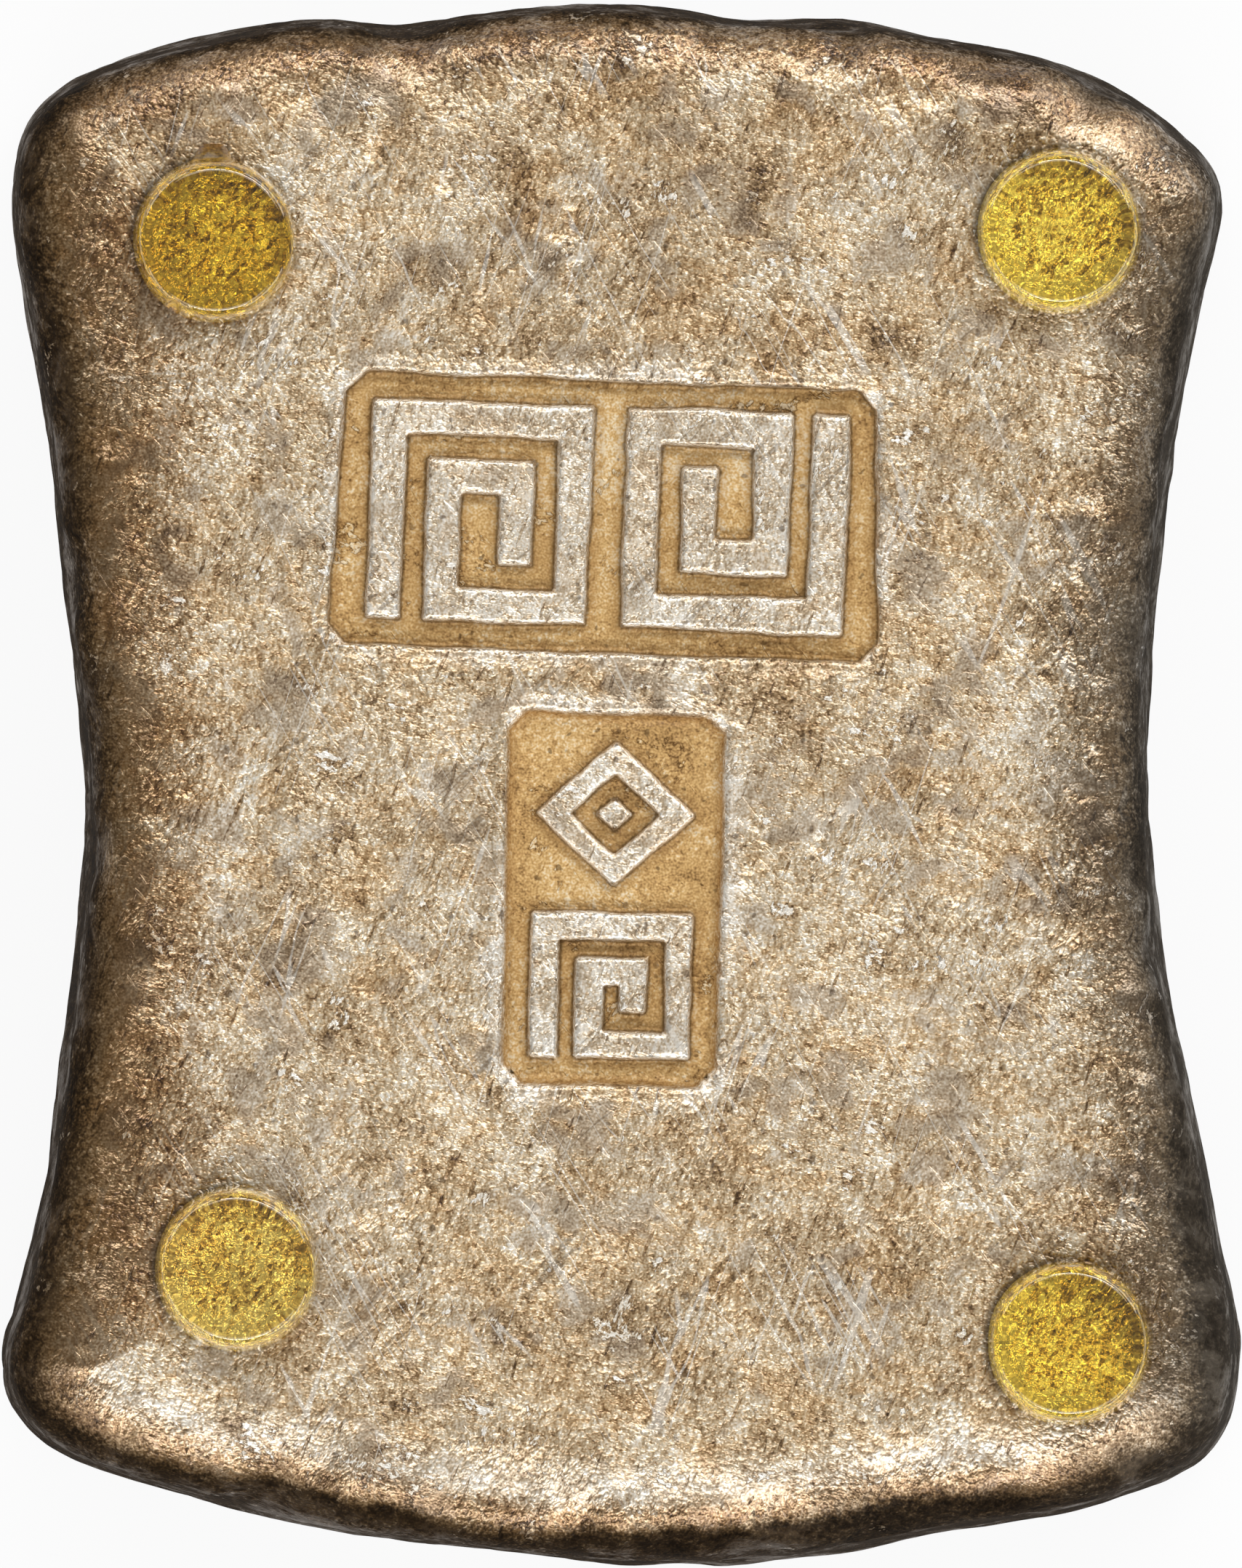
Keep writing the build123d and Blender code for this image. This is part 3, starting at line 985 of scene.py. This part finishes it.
def grain_masks(tree, on):
    """Adds the masks of the rubbed, beaded and torn skin."""
    steep = drawn_noise(tree, on.where, *STEEP_GRAIN)
    across = drawn_noise(tree, on.where, *ACROSS_GRAIN)
    on.grain = fade(tree, on.grain_way, steep, across)
    on.grit = noise(tree, on.where, GRIT_SCALE, 0.0)
    cells = put(tree, "ShaderNodeTexVoronoi", {"Vector": on.where, "Scale": BEAD_SCALE, "Randomness": 1.0})
    grained = less(tree, on.grain, 0.5)
    beads = less(tree, 1.0, add(tree, cells.outputs["Distance"], grained, 0.5))
    down = between(tree, drawn_noise(tree, on.where, *DOWN_STROKES), 0.24, 0.17)
    on.dark_stroke = times(tree, down, add(tree, 1.0, on.seal_ground, -0.8))
    on.light_stroke = between(tree, drawn_noise(tree, on.where, *SIDE_STROKES), 0.75, 0.83)
    on.flats = between(tree, weigh(tree, on.flats, [(on.grain, 1.2)]), 0.36, 0.95)
    ripped = weigh(tree, on.tear, [(on.grain, 0.9)])
    on.torn = between(tree, ripped, 0.76, 0.86)
    # Painted shadow: a dark rim around each torn bit
    on.lip = less(tree, between(tree, ripped, 0.68, 0.77), on.torn, True)
    on.smooth = less(tree, 1.0, times(tree, on.flats, 0.45))
    on.beaded = times(tree, less(tree, beads, 0.5), less(tree, 1.0, on.flats))
    level = weigh(tree, maths(tree, "ADD", LEVEL_START, on.shade), [(on.grit, 0.70)])
    level = add(tree, level, times(tree, grained, on.smooth), 1.0)
    for name, weight in LEVEL_PARTS.items():
        level = add(tree, level, getattr(on, name), weight)
    on.level = level


def bare_silver(tree, on):
    """Colour of the clear silver, with its pits and scratches."""
    tan = tones(tree, on.level, TAN)
    pale = tones(tree, on.level, PALE)
    flushed = blend(tree, 1.0, tan, FLUSH, "MULTIPLY")
    colour = blend(tree, between(tree, on.tear, 0.52, 0.34), tan, flushed)
    # Pale metal: worn flats, torn bits, rubbed metal and painted highlights
    pale_wear_and_highlight = most(tree, on.flats, most(tree, on.polished, on.torn))
    colour = blend(tree, times(tree, pale_wear_and_highlight, PALE_SHARE, True), colour, pale)
    on.pits = use(tree, SPECKS, {"Vector": on.where, **PIT_SPECKS})
    colour = blend(tree, times(tree, on.pits, 0.65), colour, PIT_DIRT)
    lines = most(tree, *[use(tree, HAIRLINES, {"Vector": on.where, **line}) for line in BRIGHT_LINES])
    colour = blend(tree, times(tree, lines, 0.5), colour, BRIGHT_LINE)
    cuts = use(tree, HAIRLINES, {"Vector": on.where, **DARK_LINES})
    return blend(tree, times(tree, cuts, 0.45), colour, DARK_LINE)


def seal_soil(tree, on):
    """Colour of the soil in the struck ground, with painted shade along the walls, and dirt and painted
    shade at their feet.
    """
    soil = tones(tree, weigh(tree, on.level, [(on.grain, -0.50)]), SOIL)
    soil = blend(tree, times(tree, on.pits, 0.6), soil, SOIL_SPECK)
    # Painted shade along the walls of the struck ground
    wall_shade = times(tree, between(tree, on.seal_gap, 1.0, 0.15), 0.42)
    soil = blend(tree, wall_shade, soil, SOIL_WALL_SHADE)
    # Dirt and painted shade at the feet of the walls
    corner = less(tree, 1.0, between(tree, weigh(tree, on.seal_gap, [(on.grain, 0.3)]), 0.03, 0.27))
    return blend(tree, times(tree, corner, 0.75), soil, SOIL_CORNER_DIRT_AND_SHADE)


def under_pads(tree, on):
    """Colour of the metal that is seen through the pads: flakes, the palest painted white as glints, with
    painted light gathered inside the rim, and a smooth ring around them painted lit on one side and shaded
    on the other.
    """
    on.covered = less(tree, 1.0, between(tree, on.pad_gap, -0.5, -0.1))
    on.ringed = times(tree, between(tree, on.pad_gap, -1.15, -0.80), on.covered)
    # Painted light gathered just inside each pad's rim, on its lit side
    painted_caustic = times(tree, between(tree, on.pad_gap, -2.4, -1.4), less(tree, on.ring_light, 0.30))
    drawn = drawn_out(tree, on.where, FLAKE_TURN, FLAKE_STRETCH)
    flaking = {"Vector": drawn, "Scale": FLAKE_SCALE, "Randomness": 1.0}
    cells = put(tree, "ShaderNodeTexVoronoi", flaking, voronoi_dimensions="2D")
    flake = put(tree, "ShaderNodeSeparateColor", {0: cells.outputs["Color"]}).outputs[0]
    start = add(tree, 0.58, painted_caustic, 0.55)
    # Flakes, the palest painted white as glints
    painted_glints = tones(tree, weigh(tree, start, [(flake, 0.55), (on.grain, 1.1), (on.grit, 0.5)]), UNDER_PAD)
    # Outer ring painted lit on one side and shaded on the other
    ring = tones(tree, weigh(tree, on.ring_light, [(on.grain, 0.5)]), PAD_RING)
    return blend(tree, on.ringed, painted_glints, ring)


def tone_and_shade_rim(tree, on, colour):
    """The colour as it browns and blackens towards the rim, as toning and painted shade, with bare spots
    spared on the walls; the left is painted darker and the right lighter.
    """
    tone = weigh(tree, less(tree, on.toning, 0.02), [(on.level, -0.30), (on.grain, -0.12)])
    on.tone = add(tree, tone, on.shade, 0.10)
    on.black = between(tree, on.tone, 0.72, 1.05)
    # Browned and darkened towards the rim: toning and painted shade, greyer on the right as painted light
    browned = blend(tree, 1.0, colour, blend(tree, on.cool_side, *BROWNED), "MULTIPLY")
    colour = blend(tree, between(tree, on.tone, 0.02, 0.60), colour, browned)
    colour = blend(tree, between(tree, on.tone, 0.35, 1.0), colour, blend(tree, on.cool_side, *DARKENED))
    patches = weigh(tree, add(tree, 0.49, on.shade, 1.0), [(on.grain, 0.40)])
    crust = tones(tree, patches, CRUST)
    on.spared = between(tree, patches, 0.46, 0.66)
    # Crust on the left painted darker and browner, as shade
    shaded_left_crust = blend(tree, 1.0, crust, LEFT_SHADE_TINT, "MULTIPLY")
    return blend(tree, on.black, colour, blend(tree, on.cool_side, shaded_left_crust, crust))


def toned_silver():
    """Rubbed cast silver, toned and painted black at the rim as shade, with soil and painted shade in its
    seals, and dirt and a painted shadow beside its pads.
    """
    material, tree, shader = new_material("toned_silver")
    on = SimpleNamespace(where=millimetres(tree))
    for name in SILVER_FIELDS:
        setattr(on, name, attribute(tree, name))
    grain_masks(tree, on)
    colour = bare_silver(tree, on)
    colour = blend(tree, on.seal_ground, colour, seal_soil(tree, on))
    # Dirt and painted shadow at the feet of the pads
    colour = blend(tree, times(tree, on.foot_dirt, 0.85), colour, FOOT_DIRT_AND_SHADOW)
    beneath = under_pads(tree, on)
    colour = blend(tree, on.covered, colour, beneath)
    tree.links.new(tone_and_shade_rim(tree, on, colour), shader.inputs["Base Color"])

    rough = weigh(tree, 0.45, [(on.grain, 0.25)])
    browning = between(tree, on.tone, 0.1, 0.5)
    for mask, weight in ((browning, -0.10), (on.seal_ground, 0.15), (on.black, 0.25), (on.covered, -0.2)):
        rough = add(tree, rough, mask, weight)
    tree.links.new(rough, shader.inputs["Roughness"])

    # Rim made matt where it is painted black, as tarnish and as shade
    tarnished_and_shaded = times(tree, between(tree, on.tone, 0.6, 0.92), add(tree, 1.0, on.spared, -0.9))
    metal = 1.0
    for mask, weight in ((tarnished_and_shaded, -1.0), (on.seal_ground, -0.35), (on.covered, -0.2), (on.ringed, -0.6)):
        metal = add(tree, metal, mask, weight)
    tree.links.new(most(tree, metal, 0.0), shader.inputs["Metallic"])

    shader.inputs["Specular IOR Level"].default_value = 0.0
    matt_rim = times(tree, between(tree, on.tone, 0.55, 0.90), 0.96)
    dull = most(tree, times(tree, on.seal_ground, 0.85), matt_rim)
    tree.links.new(less(tree, 1.0, dull), shader.inputs["Coat Weight"])
    shader.inputs["Coat Roughness"].default_value = 0.2
    shader.inputs["Coat IOR"].default_value = 1.55

    height = times(tree, weigh(tree, 0.0, [(on.grain, 1.0), (on.grit, 0.18)]), on.smooth)
    for name, weight in HEIGHT_PARTS.items():
        height = add(tree, height, getattr(on, name), weight)
    height = times(tree, height, add(tree, add(tree, 1.0, on.covered, 0.7), on.ringed, -1.4))
    bump = put(tree, "ShaderNodeBump", {"Height": height, "Strength": 1.0, "Distance": FINE_RELIEF})
    tree.links.new(bump.outputs[0], shader.inputs["Normal"])
    tree.links.new(bump.outputs[0], shader.inputs["Coat Normal"])
    return material


# Yellowed pads

PAD_TINTS = {
    "pad_upper_left": (0.70, 0.46, 0.036),
    "pad_upper_right": (1.0, 0.745, 0.10),
    "pad_lower_left": (1.0, 0.74, 0.17),
    "pad_lower_right": (1.0, 0.72, 0.085),
}
CLOUDED = (0.86, 0.80, 0.6)
PAD_SPECKS = {"Scale": 0.9, "Share": 0.07}
PAD_SPECK = (0.40, 0.28, 0.05, 1)
PAD_LINES = {"Turn": 0.5, "Spacing": 1.8, "Amount": 0.44}
PAD_RIPPLE = 0.0001  # metres


def yellowed_pad(name, tint):
    """Clear soft plastic gone yellow, with a few specks and scratches."""
    material, tree, shader = new_material("yellowed_" + name)
    where = millimetres(tree)
    clouded = tuple(c * k for c, k in zip(tint, CLOUDED))
    colour = tones(tree, noise(tree, where, 0.45, 3.0), [(0.32, clouded), (0.58, tint)])
    specks = use(tree, SPECKS, {"Vector": where, **PAD_SPECKS})
    colour = blend(tree, times(tree, specks, 0.5), colour, PAD_SPECK)
    tree.links.new(colour, shader.inputs["Base Color"])
    lines = use(tree, HAIRLINES, {"Vector": where, **PAD_LINES})
    tree.links.new(add(tree, 0.05, lines, 0.2), shader.inputs["Roughness"])
    shader.inputs["Transmission Weight"].default_value = 1.0
    shader.inputs["IOR"].default_value = 1.49
    shader.inputs["Coat Weight"].default_value = 0.7
    shader.inputs["Coat IOR"].default_value = 1.7
    ripple = noise(tree, where, 0.9, 3.0)
    bump = put(tree, "ShaderNodeBump", {"Height": ripple, "Strength": 0.2, "Distance": PAD_RIPPLE})
    tree.links.new(bump.outputs[0], shader.inputs["Normal"])
    return material


ingot.data.materials.append(toned_silver())
for name, pad in pads.items():
    pad.data.materials.append(yellowed_pad(name, PAD_TINTS[name]))


# Floor, light and camera, in metres

FLOOR_HALF = 4.0
FLOOR_PAINT = (0.86, 0.86, 0.86, 1)
FLOOR_GLOW = 0.9  # share of plain white that the camera and reflections see
WORLD_TINT = (1.0, 0.99, 0.97, 1)
WORLD_STRENGTH = 0.22
AIM = (0, 0, 0.03)
# Name, place, size and brightness of each lamp
LAMPS = [
    ("upper_strip", (0.14, 0.66, 1.02), (1.2, 0.40), 2.0),
    ("lower_strip", (0.03, -0.66, 1.02), (1.2, 0.40), 2.0),
    ("low_corner", (0.82, 0.82, 0.45), (1.0, 0.5), 3.0),
    ("low_corner", (-0.82, 0.82, 0.45), (1.0, 0.5), 2.2),
    ("low_corner", (0.82, -0.82, 0.45), (1.0, 0.5), 2.6),
    ("low_corner", (-0.82, -0.82, 0.45), (1.0, 0.5), 2.0),
    ("upper_line", (0.22, 0.82, 0.92), (1.0, 0.08), 17.0),
    ("lower_line", (0.0, -0.84, 0.88), (0.8, 0.08), 17.0),
]
CAMERA_AWAY = 2.8
CAMERA_LIFT = 0.008
SENSOR = 36.0
FRAME_HEIGHT = 2157 / 22.6 * MM  # rows of the image, over rows to a millimetre


def make_floor():
    """Pale floor that keeps the shadow and looks white."""
    h = FLOOR_HALF
    mesh = bpy.data.meshes.new("floor")
    mesh.from_pydata([(-h, -h, 0), (h, -h, 0), (h, h, 0), (-h, h, 0)], [], [(0, 1, 2, 3)])
    floor = bpy.data.objects.new("floor", mesh)
    bpy.context.scene.collection.objects.link(floor)
    material = bpy.data.materials.new("pale_floor")
    material.use_nodes = True
    tree = material.node_tree
    tree.nodes.clear()
    paint = put(tree, "ShaderNodeBsdfDiffuse", {"Color": FLOOR_PAINT})
    glow = put(tree, "ShaderNodeEmission", {"Color": (1, 1, 1, 1), "Strength": 1.0})
    path = put(tree, "ShaderNodeLightPath").outputs
    seen = most(tree, path["Is Camera Ray"], most(tree, path["Is Glossy Ray"], path["Is Transmission Ray"]))
    share = times(tree, seen, FLOOR_GLOW)
    mixed = put(tree, "ShaderNodeMixShader", {0: share, 1: paint.outputs[0], 2: glow.outputs[0]})
    put(tree, "ShaderNodeOutputMaterial", {0: mixed.outputs[0]})
    mesh.materials.append(material)


def softbox(name, place, size, radiance):
    """Area light of an even brightness, aimed at the ingot and seen only in what it lights."""
    lamp = bpy.data.lights.new(name, "AREA")
    lamp.shape = "RECTANGLE"
    lamp.size, lamp.size_y = size
    lamp.energy = radiance * math.pi * size[0] * size[1]
    holder = bpy.data.objects.new(name, lamp)
    bpy.context.scene.collection.objects.link(holder)
    holder.location = place
    holder.rotation_euler = (Vector(AIM) - Vector(place)).to_track_quat("-Z", "Y").to_euler()
    holder.visible_camera = False


def light_studio():
    """Soft plain light from the lamps and a dim world."""
    world = bpy.data.worlds.new("studio")
    bpy.context.scene.world = world
    world.use_nodes = True
    background = world.node_tree.nodes["Background"]
    background.inputs[0].default_value = WORLD_TINT
    background.inputs[1].default_value = WORLD_STRENGTH
    for lamp in LAMPS:
        softbox(*lamp)


def place_camera():
    """Camera far above the struck face, looking straight down."""
    camera = bpy.data.cameras.new("camera")
    camera.sensor_width = SENSOR
    camera.lens = CAMERA_AWAY * SENSOR / FRAME_HEIGHT
    camera.clip_end = 20.0
    holder = bpy.data.objects.new("camera", camera)
    bpy.context.scene.collection.objects.link(holder)
    holder.location = (0.0, 0.0, CAMERA_AWAY + CAMERA_LIFT)
    bpy.context.scene.camera = holder


make_floor()
light_studio()
place_camera()
bpy.context.scene.view_settings.view_transform = "Standard"
